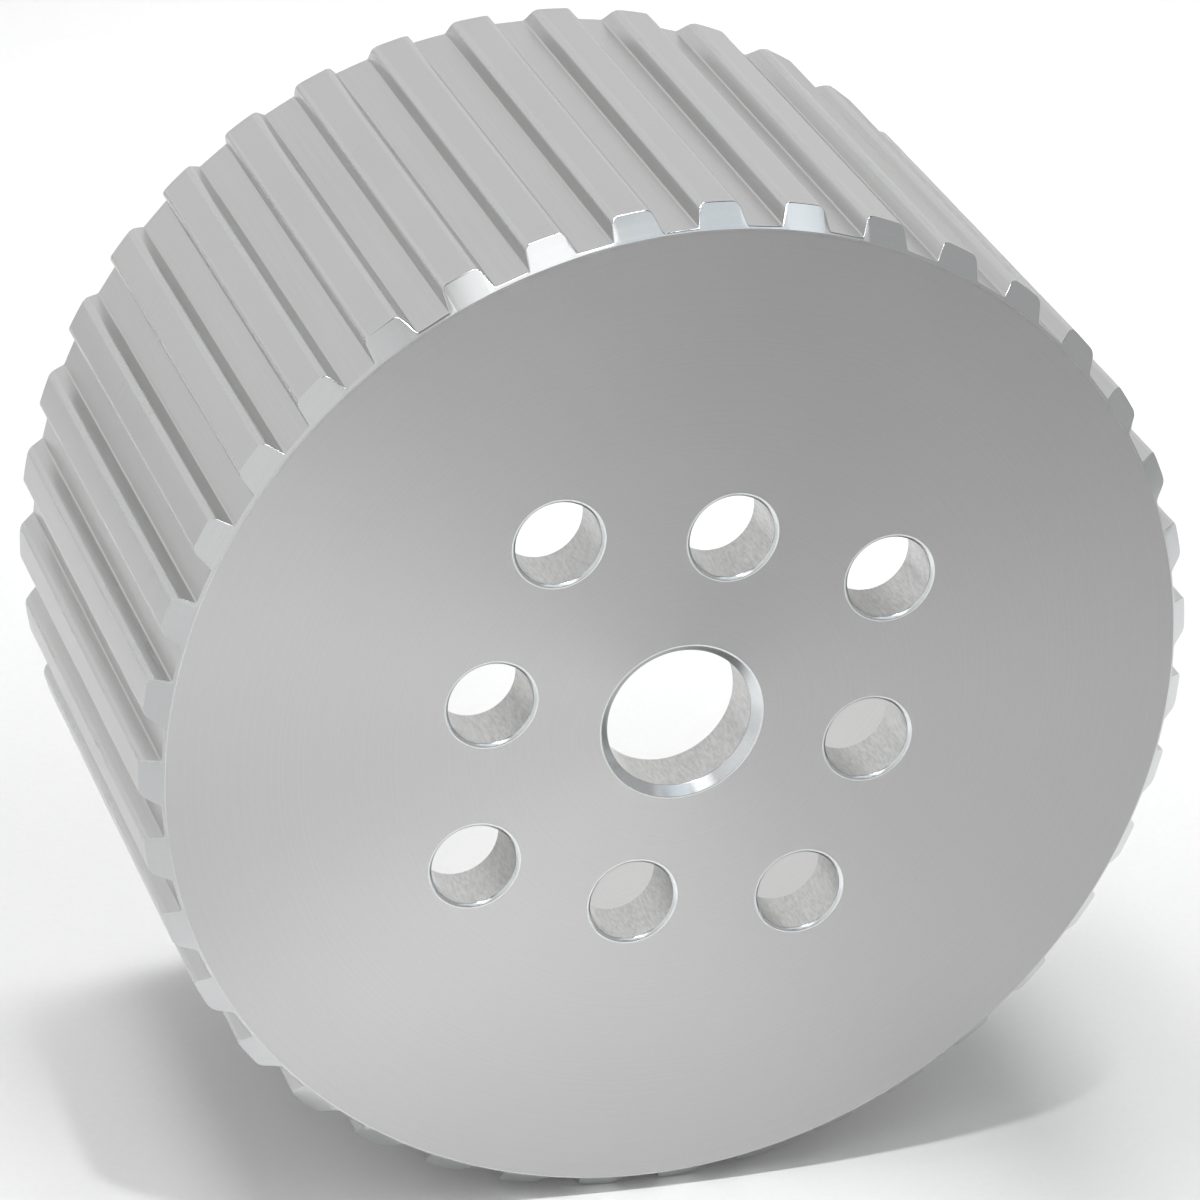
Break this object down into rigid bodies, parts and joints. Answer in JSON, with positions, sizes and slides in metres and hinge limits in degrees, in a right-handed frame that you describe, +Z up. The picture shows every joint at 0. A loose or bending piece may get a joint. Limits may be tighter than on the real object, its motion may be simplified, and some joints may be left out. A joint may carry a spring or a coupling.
{
  "type": "toothed belt pulley",
  "caption": "Wide cup-shaped timing-belt drive pulley machined from one aluminium billet, with straight trapezoidal teeth, a flat bolted web and a central bore.",
  "frame": {"origin": "on the spin axis, halfway between the front and the rear face", "axes": "+Y along the spin axis from the flat front face towards the open rear, +Z up with a tooth groove straight below the axis, +X to the right seen from the front"},
  "size_m": [0.1562, 0.0822, 0.1561],
  "materials": {
    "machined_aluminium": "fine-turned satin"
  },
  "bodies": {
    "root": {"pulley": "machined_aluminium"}
  },
  "joints": []
}
